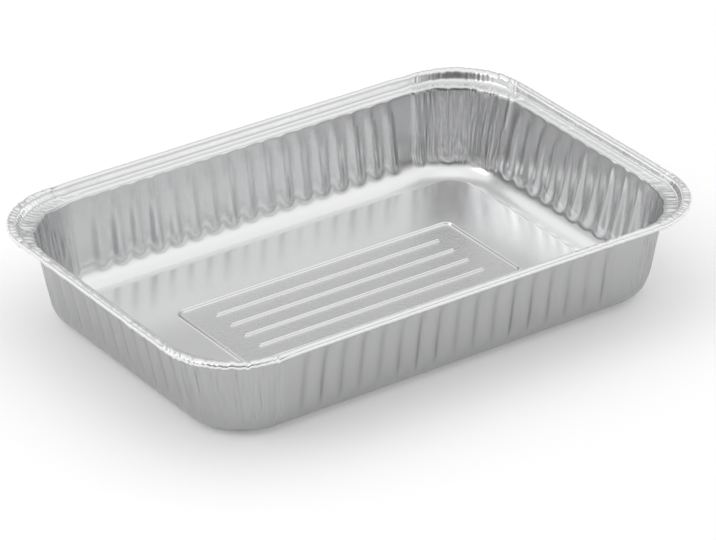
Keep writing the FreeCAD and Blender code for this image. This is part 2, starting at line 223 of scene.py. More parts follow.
@dataclass(frozen=True)
class FoilFinish:
    """Rolled aluminium foil with a fine grain and faint crumpling.

    Attributes:
        bright: Colour of the bright side, which faces into the pan.
        matt_and_shade: Colour of the dull outer side, which faces out and down: partly its own
            duller finish, partly painted shade that stands in for the darker table the outer
            walls reflect.
        stippled: Colour of the stippled ground inside the floor's frame.
        creased_and_shaded: Darker colour of the bright side at the finely folded corners:
            painted shade that stands in for the shade among the gathers.
        roughness: How far the shine is spread on the bright side.
        matt_roughness: How far it is spread on the matt side.
        roughness_spread: How much the roughness varies over the sheet.
        cloud_size: Size of the clouds in which it varies.
        grain_roughness: What the grain adds to the roughness.
        ground_roughness: What the stippled ground adds to it.
        grain_size: Width of the rolling grain, which runs along the pan.
        grain_stretch: Its width as a share of its length.
        grain_height: Its height.
        crumple_size: Size of the faint crumpling.
        crumple_height: Its height.
        stipple_size: Size of the stippling inside the frame.
        stipple_height: Its height.
        crease_size: Width of the fine upright creases at the corners.
        crease_stretch: Their width as a share of their height on the wall.
        crease_height: Their depth on the bright side.
        matt_crease_height: Their depth on the matt side.
        ground_length: Length of the stippled ground.
        ground_width: Width of the stippled ground.
        ground_edge: Width of its edge.
        ground_top: Level above which nothing is stippled.
        ground_top_edge: Height over which the stippling ends there.
        crease_along: Where the fine creases at the corners, and their painted shade, begin
            along the pan from its middle.
        crease_across: Where they begin across the pan.
        crease_fade: Distance over which they set in, either way.
        crease_foot: Level at which they begin.
        crease_foot_fade: Height over which they set in.
        crease_top: Level at which they end.
        crease_top_fade: Height over which they fade out.
    """

    bright: tuple[float, float, float] = (0.82, 0.822, 0.826)
    # Partly painted shade: the outer side is darker than its dull finish alone, standing in
    # for the darker table that it reflects.
    matt_and_shade: tuple[float, float, float] = (0.49, 0.492, 0.497)
    stippled: tuple[float, float, float] = (0.72, 0.722, 0.726)
    # Painted shade: the fine folds at the corners darken the bright side, standing in for the
    # shade among the gathers.
    creased_and_shaded: tuple[float, float, float] = (0.58, 0.582, 0.587)
    roughness: float = 0.19
    matt_roughness: float = 0.30
    roughness_spread: float = 0.10
    cloud_size: float = 18.0 * MM
    grain_roughness: float = 0.04
    ground_roughness: float = 0.06
    grain_size: float = 0.35 * MM
    grain_stretch: float = 0.04
    grain_height: float = 0.004 * MM
    crumple_size: float = 7.0 * MM
    crumple_height: float = 0.05 * MM
    stipple_size: float = 0.9 * MM
    stipple_height: float = 0.09 * MM
    crease_size: float = 1.4 * MM
    crease_stretch: float = 0.07
    crease_height: float = 0.16 * MM
    matt_crease_height: float = 0.45 * MM
    ground_length: float = 117.0 * MM
    ground_width: float = 44.5 * MM
    ground_edge: float = 0.4 * MM
    ground_top: float = 3.5 * MM
    ground_top_edge: float = 0.2 * MM
    crease_along: float = 73.0 * MM
    crease_across: float = 40.0 * MM
    crease_fade: float = 9.0 * MM
    crease_foot: float = 5.0 * MM
    crease_foot_fade: float = 3.0 * MM
    crease_top: float = 34.5 * MM
    crease_top_fade: float = 1.5 * MM

    def _noise(self, shader: Shader, vector: bpy.types.NodeSocket, size: float,
               detail: float) -> Value:
        """Return a noise pattern whose features are about that size in metres."""
        made = shader.node("ShaderNodeTexNoise", {"noise_dimensions": "3D"},
                           Vector=vector, Scale=1.0 / size, Detail=detail, Roughness=0.55)
        return Value(shader, made.outputs["Fac"])

    def _ground(self, along: Value, across: Value, level: Value) -> Value:
        """Return the mask of the stippled ground, 1 inside the frame."""
        inside = (self.ground_length / 2 - along).over(self.ground_edge)
        inside = inside * (self.ground_width / 2 - across).over(self.ground_edge)
        return inside * (self.ground_top - level).over(self.ground_top_edge)

    def _creased_and_shaded(self, along: Value, across: Value, level: Value) -> Value:
        """Return the mask of the finely folded corners, 1 inside them: it places their crease
        bumps and their painted shade.
        """
        mask = (along - self.crease_along).over(self.crease_fade)
        mask = mask * (across - self.crease_across).over(self.crease_fade)
        mask = mask * (level - self.crease_foot).over(self.crease_foot_fade)
        return mask * (self.crease_top - level).over(self.crease_top_fade)

    def build(self, side: FoilSide) -> bpy.types.Material:
        """Make the material of one side of the foil.

        Args:
            side: The side that the material is for.

        Returns:
            The material, which follows Object coordinates.
        """
        bright = side is FoilSide.BRIGHT
        material = bpy.data.materials.new(f"rolled_aluminium_foil_{side.value}")
        material.use_nodes = True
        shader = Shader(material.node_tree)
        coords = shader.node("ShaderNodeTexCoord").outputs["Object"]
        place = shader.node("ShaderNodeSeparateXYZ", _0=coords).outputs
        along, across = abs(Value(shader, place["X"])), abs(Value(shader, place["Y"]))
        level = Value(shader, place["Z"])
        ground = self._ground(along, across, level)
        # The corners' mask carries their crease bumps and their painted shade.
        creased_and_shaded = self._creased_and_shaded(along, across, level)

        lengthwise = shader.node("ShaderNodeMapping", Vector=coords,
                                 Scale=(self.grain_stretch, 1.0, 1.0)).outputs["Vector"]
        upright = shader.node("ShaderNodeMapping", Vector=coords,
                              Scale=(1.0, 1.0, self.crease_stretch)).outputs["Vector"]
        grain = self._noise(shader, lengthwise, self.grain_size, 3.0)
        crumple = self._noise(shader, coords, self.crumple_size, 3.0)
        stipple = self._noise(shader, coords, self.stipple_size, 1.0)
        cloud = self._noise(shader, coords, self.cloud_size, 4.0)
        crease = self._noise(shader, upright, self.crease_size, 3.0)

        crease_height = self.crease_height if bright else self.matt_crease_height
        height = (grain * self.grain_height + crumple * self.crumple_height
                  + stipple * ground * self.stipple_height
                  + crease * creased_and_shaded * crease_height)
        bump = shader.node("ShaderNodeBump", Strength=1.0, Distance=1.0, Height=height)
        roughness = ((self.roughness if bright else self.matt_roughness)
                     + (cloud - 0.5) * self.roughness_spread
                     + grain * self.grain_roughness + ground * self.ground_roughness)
        metal_colour = self.bright if bright else self.matt_and_shade
        ground_colour = self.stippled if bright else self.matt_and_shade
        crease_shade_colour = self.creased_and_shaded if bright else self.matt_and_shade
        # Painted shade: the bright side's colour darkens at the folded corners.
        plain = shader.node("ShaderNodeMix", {"data_type": "RGBA"}, _0=creased_and_shaded,
                            _6=(*metal_colour, 1.0), _7=(*crease_shade_colour, 1.0))
        colour = shader.node("ShaderNodeMix", {"data_type": "RGBA"}, _0=ground,
                             _6=plain.outputs[2], _7=(*ground_colour, 1.0))
        metal = shader.node("ShaderNodeBsdfPrincipled", Base_Color=colour.outputs[2],
                            Metallic=1.0, Roughness=roughness,
                            Normal=bump.outputs["Normal"])
        shader.node("ShaderNodeOutputMaterial", Surface=metal.outputs["BSDF"])
        return material


@dataclass(frozen=True)
class TableFinish:
    """Matt white table top.

    Attributes:
        colour: Colour of the table.
        roughness: How far its shine is spread.
        glow: Strength of the light that comes through the table from below.
    """

    colour: tuple[float, float, float] = (0.96, 0.96, 0.96)
    roughness: float = 0.8
    glow: float = 0.17

    def build(self) -> bpy.types.Material:
        """Make the table's material."""
        material = bpy.data.materials.new("white_table")
        material.use_nodes = True
        shader = Shader(material.node_tree)
        top = shader.node("ShaderNodeBsdfPrincipled", Base_Color=(*self.colour, 1.0),
                          Roughness=self.roughness, Emission_Color=(1.0, 1.0, 1.0, 1.0),
                          Emission_Strength=self.glow)
        shader.node("ShaderNodeOutputMaterial", Surface=top.outputs["BSDF"])
        return material


# ==== The pan ====
class Wall(Enum):
    """The four walls, anticlockwise, each by the direction that it faces outwards."""

    RIGHT = (1, 0)
    FAR = (0, 1)
    LEFT = (-1, 0)
    NEAR = (0, -1)


@dataclass(frozen=True)
class Ring:
    """One ring of the sheet: a rounded rectangle at one height.

    Attributes:
        along: Half its length, in X.
        across: Half its width, in Y.
        corner: Radius of its corners.
        level: Its height.
        flute: Depth of the flutes in its straight runs.
        pleat: Strength of the gathers around its corners, from 0 to 1.
        crimp: Strength of the crimps that run round the rim, from 0 to 1.
    """

    along: float
    across: float
    corner: float
    level: float
    flute: float = 0.0
    pleat: float = 0.0
    crimp: float = 0.0


@dataclass(frozen=True)
class Place:
    """A place around the pan, the same for every ring.

    Attributes:
        wall: The wall that the place is on, or that its corner follows.
        corner_share: Share of the way round the corner, or None on a wall.
        flute: Number of the flute that the place belongs to, along its wall.
        turn: Place on the flute's wave, from -1 over 0 at its crest to 1.
        end_share: Share of the plain end of the wall, or None on a flute.
    """

    wall: Wall
    corner_share: float | None = None
    flute: int = 0
    turn: float = 0.0
    end_share: float | None = None


@dataclass(frozen=True)
class Gathers:
    """Irregular upright gathers in the foil around one corner.

    Attributes:
        seed: Seed of their places and depths.
        spacing: Distance between fine gathers, round the corner.
        length: How far a fine gather runs up the wall.
        fine_depth: Greatest depth of the fine gathers.
        crease_spacing: Distance between creases, as a multiple of the gathers'.
        crease_length: How far a crease runs up the wall, likewise.
        crease_depth: Greatest depth of the creases, likewise.
        broad_spacing: Distance between the broad folds that carry them all.
        broad_length: How far a broad fold runs up the wall.
        broad_depth: Greatest depth of the broad folds.
    """

    seed: int
    spacing: float = 1.25 * MM
    length: float = 11.0 * MM
    fine_depth: float = 0.65 * MM
    crease_spacing: float = 2.3
    crease_length: float = 2.0
    crease_depth: float = 0.7
    broad_spacing: float = 5.0 * MM
    broad_length: float = 40.0 * MM
    broad_depth: float = 0.6 * MM

    def push(self, onward: float, level: float) -> float:
        """Return how far the foil is pushed into the pan.

        Args:
            onward: Distance round the corner.
            level: Height on the wall.

        Returns:
            The push in metres.
        """
        fine = noise.noise(Vector((onward / self.spacing, level / self.length, self.seed)))
        crease = noise.noise(Vector((onward / (self.crease_spacing * self.spacing),
                                     level / (self.crease_length * self.length),
                                     self.seed + 0.5)))
        broad = noise.noise(Vector((onward / self.broad_spacing, level / self.broad_length,
                                    self.seed + 0.25)))
        return (self.fine_depth * abs(fine)
                + self.crease_depth * self.fine_depth * abs(crease)
                + self.broad_depth * (broad + 0.5))


@dataclass
class FoilPan:
    """The pan's visible skin: one sheet of foil.

    Levels are heights above the table. Corners and bends are radii.

    Attributes:
        length: Length over the rim.
        width: Width over the rim.
        height: Height over the rim.
        foil: Thickness of the foil.
        rim_corner: Corners of the rim's outer edge.
        rim_reach: How far the rim reaches out from the wall.
        rim_rise: How far it stands above the wall.
        curl_radius: Radius of the rolled edge.
        curl_start: Where the roll begins on its circle, in degrees.
        curl_end: Where it ends, in degrees.
        curl_steps: Steps around the roll.
        upstand_height: Height of the upstand below the roll.
        upstand_lean: How far the upstand leans out.
        side_lean: Lean of the long walls from upright, in degrees.
        end_lean: Lean of the short walls, in degrees.
        wall_corner: Corners of the walls at their top.
        base_corner: Corners of the flat base.
        side_bend: Bend at the foot of the long walls.
        end_bend: That of the short walls.
        gutter_side: Width of the flat base along the long walls.
        gutter_end: Its width along the short walls.
        gutter_tighter: How much tighter its corners are on its inside.
        panel_rise: How far the floor panel is raised.
        panel_slope: Width of the slope at the panel's edge.
        panel_ease: Bends at the slope's foot and head.
        flat_margin: Flat strip beside the slope or a bead.
        flute_pitch: Distance between flutes, where there is room for it.
        flutes_long: Flutes on a long wall.
        flutes_short: Flutes on a short wall.
        flute_foot: Level at which flutes and gathers set in.
        flute_full: Level at which the flutes are deepest.
        flute_fade: Level at which they begin to fade out.
        flute_overrun: How far above the wall they have faded out.
        gather_full: Level at which the gathers are deepest.
        flute_depth: Depth of the flutes where they are deepest.
        flute_depth_top: Depth towards which they taper at the wall's top.
        flute_points: Steps across a flute.
        flute_spread: How uneven the flutes are, as a share of their depth.
        flute_seed: Seed of that unevenness.
        corner_seed: Seed of the first corner's gathers.
        corner_points: Steps around a corner.
        corner_ease: Share of a corner over which its gathers set in.
        end_points: Steps over the plain end of a wall.
        end_margin: Least length of that plain end.
        sway: How far the walls waver.
        sway_levels: Levels between which the wavering sets in.
        sway_spacing: Length of the waves.
        sway_upright: How quickly they vary with height, against along a wall.
        rim_sway: How far the rim wavers.
        rim_sway_levels: Heights above the wall between which that sets in.
        crimp_depth: Depth of the rim's crimps where they are strong.
        crimp_spacing: Distance between crimps along the rim.
        crimp_length: Length of a crimp across the rim.
        crimp_bias: How much of the rim is crimped: half of it at 0, all of it at 1.
        crimp_patch: Length of the more and the less crimped stretches.
        crimp_reach: How far from a corner its strong crimps run on.
        frame_length: Length of the floor's frame, in the middle of its bead.
        frame_width: Its width.
        frame_corner: Its corners.
        rib_length: Length of a rib between the centres of its ends.
        rib_pitch: Distance between ribs.
        ribs: Number of ribs.
        rib_flank: Share of a rib's half width that its flank takes.
        cell_margin: Flat floor meshed with a rib, beyond its ends.
        bead_width: Width of the beads of frame and ribs.
        bead_rise: Height of the beads.
        bead_steps: Steps across a bead.
        bead_corner_steps: Steps around each corner of a bead.
        weld: Distance within which points are merged.
        sharp_angle: Angle above which an edge stays sharp, in degrees.
        finish: The foil's finish.
        gathers: The gathers of each corner, by the wall that it follows.
        unevenness: How uneven each flute is, at its foot and its top in turn.
    """

    length: float
    width: float
    height: float
    foil: float = 0.1 * MM
    rim_corner: float = 28.5 * MM
    rim_reach: float = 6.9 * MM
    rim_rise: float = 5.0 * MM
    curl_radius: float = 1.35 * MM
    curl_start: float = 162.9
    curl_end: float = -112.0
    curl_steps: int = 11
    upstand_height: float = 2.6 * MM
    upstand_lean: float = 0.8 * MM
    side_lean: float = 7.0
    end_lean: float = 12.0
    wall_corner: float = 28.0 * MM
    base_corner: float = 14.8 * MM
    side_bend: float = 11.2 * MM
    end_bend: float = 8.6 * MM
    gutter_side: float = 0.6 * MM
    gutter_end: float = 1.9 * MM
    gutter_tighter: float = 3.0 * MM
    panel_rise: float = 3.0 * MM
    panel_slope: float = 1.2 * MM
    panel_ease: float = 1.5 * MM
    flat_margin: float = 0.3 * MM
    flute_pitch: float = 8.0 * MM
    flutes_long: int = 17
    flutes_short: int = 10
    flute_foot: float = 3.2 * MM
    flute_full: float = 9.5 * MM
    flute_fade: float = 26.0 * MM
    flute_overrun: float = 1.0 * MM
    gather_full: float = 8.0 * MM
    flute_depth: float = 1.35 * MM
    flute_depth_top: float = 0.6 * MM
    flute_points: int = 8
    flute_spread: float = 0.35
    flute_seed: int = 5
    corner_seed: int = 11
    corner_points: int = 118
    corner_ease: float = 0.06
    end_points: int = 3
    end_margin: float = 0.4 * MM
    sway: float = 0.14 * MM
    sway_levels: tuple[float, float] = (5.0 * MM, 12.0 * MM)
    sway_spacing: float = 11.0 * MM
    sway_upright: float = 0.4
    rim_sway: float = 0.05 * MM
    rim_sway_levels: tuple[float, float] = (0.8 * MM, 2.0 * MM)
    crimp_depth: float = 0.85 * MM
    crimp_spacing: float = 0.95 * MM
    crimp_length: float = 3.2 * MM
    crimp_bias: float = 0.7
    crimp_patch: float = 5.0 * MM
    crimp_reach: float = 12.0 * MM
    frame_length: float = 118.5 * MM
    frame_width: float = 46.0 * MM
    frame_corner: float = 3.0 * MM
    rib_length: float = 96.0 * MM
    rib_pitch: float = 9.0 * MM
    ribs: int = 4
    rib_flank: float = 0.94
    cell_margin: float = 4.0 * MM
    bead_width: float = 1.5 * MM
    bead_rise: float = 0.9 * MM
    bead_steps: int = 8
    bead_corner_steps: int = 7
    weld: float = 0.002 * MM
    sharp_angle: float = 60.0
    finish: FoilFinish = field(default_factory=FoilFinish)
    gathers: dict[Wall, Gathers] = field(init=False)
    unevenness: list[float] = field(init=False)

    def __post_init__(self) -> None:
        """Draw the gathers of each corner and how uneven the flutes are."""
        seeds = enumerate(Wall, start=self.corner_seed)
        self.gathers = {wall: Gathers(seed) for seed, wall in seeds}
        draw = random.Random(self.flute_seed)
        count = 2 * len(Wall) * self.flutes_long
        self.unevenness = [draw.uniform(-1.0, 1.0) for _ in range(count)]

    @property
    def wall_top(self) -> float:
        """Return the height where the wall meets the rim."""
        return self.height - self.rim_rise

    def wall_inset(self, lean: float, bend: float, level: float) -> float:
        """Work out how far a wall lies inside the rim's outer edge.

        Args:
            lean: How far the wall leans out from upright, in degrees.
            bend: Radius of the bend between the base and that wall.
            level: Height on the wall.

        Returns:
            The distance in plan, in metres.
        """
        slope = math.radians(lean)
        climb = level - self.foil
        if climb < bend * (1 - math.sin(slope)):
            flat = (self.rim_reach + (self.wall_top - self.foil) * math.tan(slope)
                    + bend * math.tan(math.pi / 4 - slope / 2))
            return flat - bend * math.sin(math.acos(1 - max(climb, 0.0) / bend))
        return self.rim_reach + (self.wall_top - level) * math.tan(slope)

    # -- the pressed section ------------------------------------------------
    def _rim_ring(self, inset: float, level: float, **folds: float) -> Ring:
        """Return a ring that lies that far inside the rim's outer edge."""
        corner = between(self.rim_corner, self.wall_corner, inset / self.rim_reach)
        return Ring(self.length / 2 - inset, self.width / 2 - inset, corner, level, **folds)

    def _wall_ring(self, level: float, **folds: float) -> Ring:
        """Return a ring of the walls, from the flat base round the bend to the top."""
        end = self.wall_inset(self.end_lean, self.end_bend, level)
        side = self.wall_inset(self.side_lean, self.side_bend, level)
        whole = (self.wall_inset(self.end_lean, self.end_bend, self.foil)
                 + self.wall_inset(self.side_lean, self.side_bend, self.foil)) / 2
        share = ((end + side) / 2 - self.rim_reach) / (whole - self.rim_reach)
        corner = between(self.wall_corner, self.base_corner, share)
        return Ring(self.length / 2 - end, self.width / 2 - side, corner, level, **folds)

    def _base_rings(self) -> list[Ring]:
        """Return the rings from the floor panel's edge to the edge of the flat base."""
        base = self._wall_ring(self.foil)
        inner_along = base.along - self.gutter_end
        inner_across = base.across - self.gutter_side
        inner_corner = base.corner - self.gutter_tighter
        steep = math.atan2(self.panel_rise, self.panel_slope)
        rings = []

        def inner_ring(outward: float, level: float) -> None:
            rings.append(Ring(inner_along + outward, inner_across + outward,
                              inner_corner + outward, level))

        ease = self.panel_ease
        tangent = ease * math.tan(steep / 2)
        top = self.foil + self.panel_rise
        inner_ring(-self.panel_slope - tangent - self.flat_margin, top)
        for share in (0.0, 0.3, 0.65, 1.0):
            angle = steep * share
            inner_ring(-self.panel_slope - tangent + ease * math.sin(angle),
                       top - ease * (1 - math.cos(angle)))
        for share in (0.0, 0.35, 0.7, 1.0):
            angle = steep * (1 - share)
            inner_ring(tangent - ease * math.sin(angle),
                       self.foil + ease * (1 - math.cos(angle)))
        return rings + [base]

    def _wall_rings(self) -> list[Ring]:
        """Return the rings of the bend and the fluted wall."""
        rings = []
        levels = (0.35, 0.9, 1.7, 2.5, 3.2, 3.8, 4.5, 5.3, 6.3, 7.6, 9.4, 11.5, 15.0, 19.0,
                  23.0, 27.0, 30.0, 32.2)
        for level in (value * MM for value in levels):
            share = (level - self.flute_full) / (self.wall_top - self.flute_full)
            depth = between(self.flute_depth, self.flute_depth_top, max(share, 0.0))
            depth *= smooth_step(self.flute_foot, self.flute_full, level)
            depth *= 1.0 - smooth_step(self.flute_fade, self.wall_top + self.flute_overrun,
                                       level)
            pleat = smooth_step(self.flute_foot, self.gather_full, level)
            rings.append(self._wall_ring(level, flute=depth, pleat=pleat))
        return rings

    def _rim_rings(self) -> list[Ring]:
        """Return the rings of the shoulder, ledge, upstand and rolled edge."""
        start = math.radians(self.curl_start)
        curl_level = self.height - self.curl_radius
        roll_inset = self.curl_radius - self.curl_radius * math.cos(start)
        roll_level = curl_level + self.curl_radius * math.sin(start)
        crease_inset = roll_inset + self.upstand_lean
        crease_level = roll_level - self.upstand_height
        rings = [
            self._rim_ring(6.82 * MM, 33.30 * MM, flute=0.03 * MM, pleat=0.9),
            self._rim_ring(6.62 * MM, 33.75 * MM, pleat=0.7, crimp=0.2),
            self._rim_ring(6.22 * MM, 34.05 * MM, pleat=0.45, crimp=0.6),
            self._rim_ring(5.60 * MM, 34.20 * MM, pleat=0.2, crimp=1.0),
            self._rim_ring(4.70 * MM, 34.22 * MM, crimp=1.0),
            self._rim_ring(crease_inset + 0.42 * MM, crease_level - 0.15 * MM, crimp=0.8),
            self._rim_ring(crease_inset + 0.05 * MM, crease_level + 0.15 * MM, crimp=0.6),
            self._rim_ring(crease_inset - 0.2 * MM, crease_level + 0.8 * MM, crimp=0.7),
            self._rim_ring(between(crease_inset, roll_inset, 0.7),
                           between(crease_level, roll_level, 0.7), crimp=0.8),
        ]
        for step in range(self.curl_steps + 1):
            angle = between(start, math.radians(self.curl_end), step / self.curl_steps)
            inset = self.curl_radius - self.curl_radius * math.cos(angle)
            level = curl_level + self.curl_radius * math.sin(angle)
            rings.append(self._rim_ring(inset, level, crimp=0.9))
        return rings

    # -- places around the pan ----------------------------------------------
    def _flutes_on(self, wall: Wall) -> int:
        """Return how many flutes a wall has."""
        return self.flutes_short if wall in (Wall.RIGHT, Wall.LEFT) else self.flutes_long

    def _places(self) -> list[Place]:
        """Return the places around the pan, anticlockwise from the right wall's start."""
        places: list[Place] = []
        for wall in Wall:
            count = self._flutes_on(wall)
            ends = [index / self.end_points for index in range(1, self.end_points)]
            places += [Place(wall, end_share=-share) for share in reversed(ends)]
            waves = range(1 - self.flute_points // 2, self.flute_points // 2 + 1)
            places.append(Place(wall, turn=-1.0))
            places += [Place(wall, flute=index, turn=2 * step / self.flute_points)
                       for index in range(count) for step in waves]
            places += [Place(wall, end_share=share) for share in ends]
            places += [Place(wall, corner_share=index / self.corner_points)
                       for index in range(self.corner_points + 1)]
        return places

    def _wall_place(self, ring: Ring, place: Place, run: float) -> tuple[float, float]:
        """Return where a wall's place lies, as (along the wall, push into the pan)."""
        count = self._flutes_on(place.wall)
        pitch = min(self.flute_pitch, 2 * (run - self.end_margin) / count)
        if place.end_share is not None:
            last = count / 2 * pitch
            reach = between(last, run, abs(place.end_share))
            return math.copysign(reach, place.end_share), 0.0
        middle = (place.flute - (count - 1) / 2) * pitch
        number = 2 * (list(Wall).index(place.wall) * self.flutes_long + place.flute)
        rise = ring.level / self.wall_top
        uneven = self.unevenness[number] * (1 - rise) + self.unevenness[number + 1] * rise
        wave = ((1 + math.cos(math.pi * place.turn)) / 2) ** (1 + rise)
        push = ring.flute * wave * (1 + self.flute_spread * uneven)
        return middle + place.turn * pitch / 2, push

    def point(self, ring: Ring, place: Place) -> Vector:
        """Work out a point of the sheet.

        Args:
            ring: The ring that it lies on.
            place: Its place around the pan.

        Returns:
            The point, in metres.
        """
        out = Vector((*place.wall.value, 0.0))
        onward = Vector((-out.y, out.x, 0.0))
        reach, half = (ring.along, ring.across) if out.x else (ring.across, ring.along)
        run = half - ring.corner
        if place.corner_share is None:
            along_wall, push = self._wall_place(ring, place, run)
            spot = out * reach + onward * along_wall + UP * ring.level
            inward = -out
        else:
            angle = math.radians(90.0) * place.corner_share
            ray = out * math.cos(angle) + onward * math.sin(angle)
            spot = (out * (reach - ring.corner) + onward * run + ray * ring.corner
                    + UP * ring.level)
            inward = -ray
            edge = smooth_step(0.0, self.corner_ease, place.corner_share)
            edge *= smooth_step(0.0, self.corner_ease, 1.0 - place.corner_share)
            onward_round = place.corner_share * self.wall_corner * math.pi / 2
            push = self.gathers[place.wall].push(onward_round, ring.level)
            push *= ring.pleat * edge
        push += self._waver(spot, ring)
        return spot + inward * push + UP * self._crimp(spot, ring, place)

    def _waver(self, spot: Vector, ring: Ring) -> float:
        """Return the wall's slight unevenness at a spot, as a push into the pan."""
        on_wall = smooth_step(*self.sway_levels, ring.level)
        low, high = self.rim_sway_levels
        on_rim = smooth_step(self.wall_top + low, self.wall_top + high, ring.level)
        slow = noise.noise(Vector((spot.x, spot.y, spot.z * self.sway_upright))
                           / self.sway_spacing)
        return (self.sway * on_wall * (1.0 - on_rim) * slow
                + self.rim_sway * on_rim * (slow + 1))

    def _crimp_strength(self, spot: Vector, ring: Ring, place: Place) -> float:
        """Return how strong the rim's crimps are at a spot, from 0 to 1.

        They are strong around the corners and along the left wall, less so along the
        right one and the near one's right end, and faint elsewhere.
        """
        if place.corner_share is not None:
            return 1.0
        past = math.hypot(max(ring.along - ring.corner - abs(spot.x), 0.0),
                          max(ring.across - ring.corner - abs(spot.y), 0.0))
        near = between(0.22, 0.8, smooth_step(30.0 * MM, 55.0 * MM, spot.x))
        least = {Wall.LEFT: 0.85, Wall.RIGHT: 0.35, Wall.FAR: 0.16, Wall.NEAR: near}
        return between(least[place.wall], 1.0, smooth_step(self.crimp_reach, 0.0, past))

    def _crimp(self, spot: Vector, ring: Ring, place: Place) -> float:
        """Return the height of the rim's crimps at a spot, which lie across the rim."""
        if ring.crimp == 0.0:
            return 0.0
        inset = self.length / 2 - ring.along
        if place.corner_share is None:
            onward = spot.x + spot.y
        else:
            onward = place.corner_share * self.rim_corner * math.pi / 2
        shift = 7.3 * list(Wall).index(place.wall)
        fold = noise.noise(Vector((onward / self.crimp_spacing, inset / self.crimp_length,
                                   shift)))
        patch = noise.noise(Vector((onward / self.crimp_patch, 3.1, shift))) * 0.7 + 0.8
        strength = self._crimp_strength(spot, ring, place)
        return (-ring.crimp * self.crimp_depth * strength * patch
                * max(fold + self.crimp_bias, 0.0) / (2 * self.crimp_bias))

    # -- building -----------------------------------------------------------
    def build(self) -> bpy.types.Object:
        """Model the pan, dress it and tie it to its frame.

        Returns:
            The pan's object.
        """
        places = self._places()
        rings = self._base_rings() + self._wall_rings() + self._rim_rings()
        deselect_all()
        bpy.ops.mesh.primitive_circle_add(vertices=len(places), radius=self.width / 2)
        pan = bpy.context.object
        pan.name = pan.data.name = "pressed_foil_sheet"
        bpy.ops.object.mode_set(mode="EDIT")
        self._grow_walls(pan.data, rings, places)
        self._press_floor(pan.data, rings[0].level)
        bpy.ops.object.mode_set(mode="OBJECT")
        for side in FoilSide:
            pan.data.materials.append(self.finish.build(side))
        thick = pan.modifiers.new("foil_thickness", "SOLIDIFY")
        thick.thickness = self.foil
        thick.offset = -1.0
        # The outer shell takes the outer side's material, whose dark colour is partly painted
        # shade.
        thick.material_offset = 1
        bpy.ops.object.modifier_apply(modifier=thick.name)
        bpy.ops.object.shade_smooth_by_angle(angle=math.radians(self.sharp_angle))
        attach(pan, "root")
        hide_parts(FRAME_NODE)
        LOG.info("%s: %d rings of %d points", pan.name, len(rings), len(places))
        return pan

    def _grow_walls(self, mesh: bpy.types.Mesh, rings: list[Ring],
                    places: list[Place]) -> None:
        """Set the first ring and extrude the others from it, one by one."""
        sheet = bmesh.from_edit_mesh(mesh)
        tag = sheet.verts.layers.int.new("place")
        sheet.verts.ensure_lookup_table()
        for index, vertex in enumerate(sheet.verts):
            vertex[tag] = index
        for number, ring in enumerate(rings):
            if number:
                bpy.ops.mesh.extrude_region_move()
            sheet = bmesh.from_edit_mesh(mesh)
            tag = sheet.verts.layers.int["place"]
            for vertex in sheet.verts:
                if vertex.select:
                    vertex.co = self.point(ring, places[vertex[tag]])
            bmesh.update_edit_mesh(mesh)

    def _frame_loops(self) -> list[Loop]:
        """Return the loops of the frame's bead, from its outside to its inside."""
        half_x, half_y = self.frame_length / 2, self.frame_width / 2
        guard = self.bead_width / 2 + self.flat_margin
        loops = [(half_x + guard, half_y + guard, self.frame_corner + guard, 0.0)]
        for step in range(self.bead_steps + 1):
            inward = self.bead_width * (step / self.bead_steps - 0.5)
            rise = self.bead_rise * (1 - math.cos(2 * math.pi * step / self.bead_steps)) / 2
            loops.append((half_x - inward, half_y - inward, self.frame_corner - inward, rise))
        loops.append((half_x - guard, half_y - guard, self.frame_corner - guard, 0.0))
        return loops

    def _rib_loops(self) -> list[Loop]:
        """Return the loops of one rib, from the edge of its cell to its crest."""
        half = self.rib_length / 2
        radius = self.bead_width / 2 + self.flat_margin
        loops = [(half + self.cell_margin, self.rib_pitch / 2, 0.0, 0.0),
                 (half + radius, radius, radius, 0.0)]
        steps = self.bead_steps // 2
        for step in range(steps + 1):
            inward = self.bead_width / 2 * step / steps * self.rib_flank
            rise = self.bead_rise * (1 - math.cos(math.pi * step / steps)) / 2
            radius = self.bead_width / 2 - inward
            loops.append((half + radius, radius, radius, rise))
        return loops

    def _press_floor(self, mesh: bpy.types.Mesh, level: float) -> None:
        """Lay the floor panel inside the first ring, with its frame and ribs."""
        self._raise_bead(mesh, self._frame_loops(), 0.0, level)
        for index in range(self.ribs):
            place = (index - (self.ribs - 1) / 2) * self.rib_pitch
            self._raise_bead(mesh, self._rib_loops(), place, level)
            bpy.ops.mesh.edge_face_add()
        bpy.ops.mesh.select_all(action="SELECT")
        bpy.ops.mesh.remove_doubles(threshold=self.weld)
        self._fill_ground(mesh, level)
        bpy.ops.mesh.select_all(action="SELECT")
        bpy.ops.mesh.quads_convert_to_tris(quad_method="BEAUTY", ngon_method="BEAUTY")
        bpy.ops.mesh.normals_make_consistent(inside=False)
        sheet = bmesh.from_edit_mesh(mesh)
        ground = max(sheet.faces, key=lambda face: face.calc_area())
        if ground.normal.z < 0:
            bpy.ops.mesh.flip_normals()

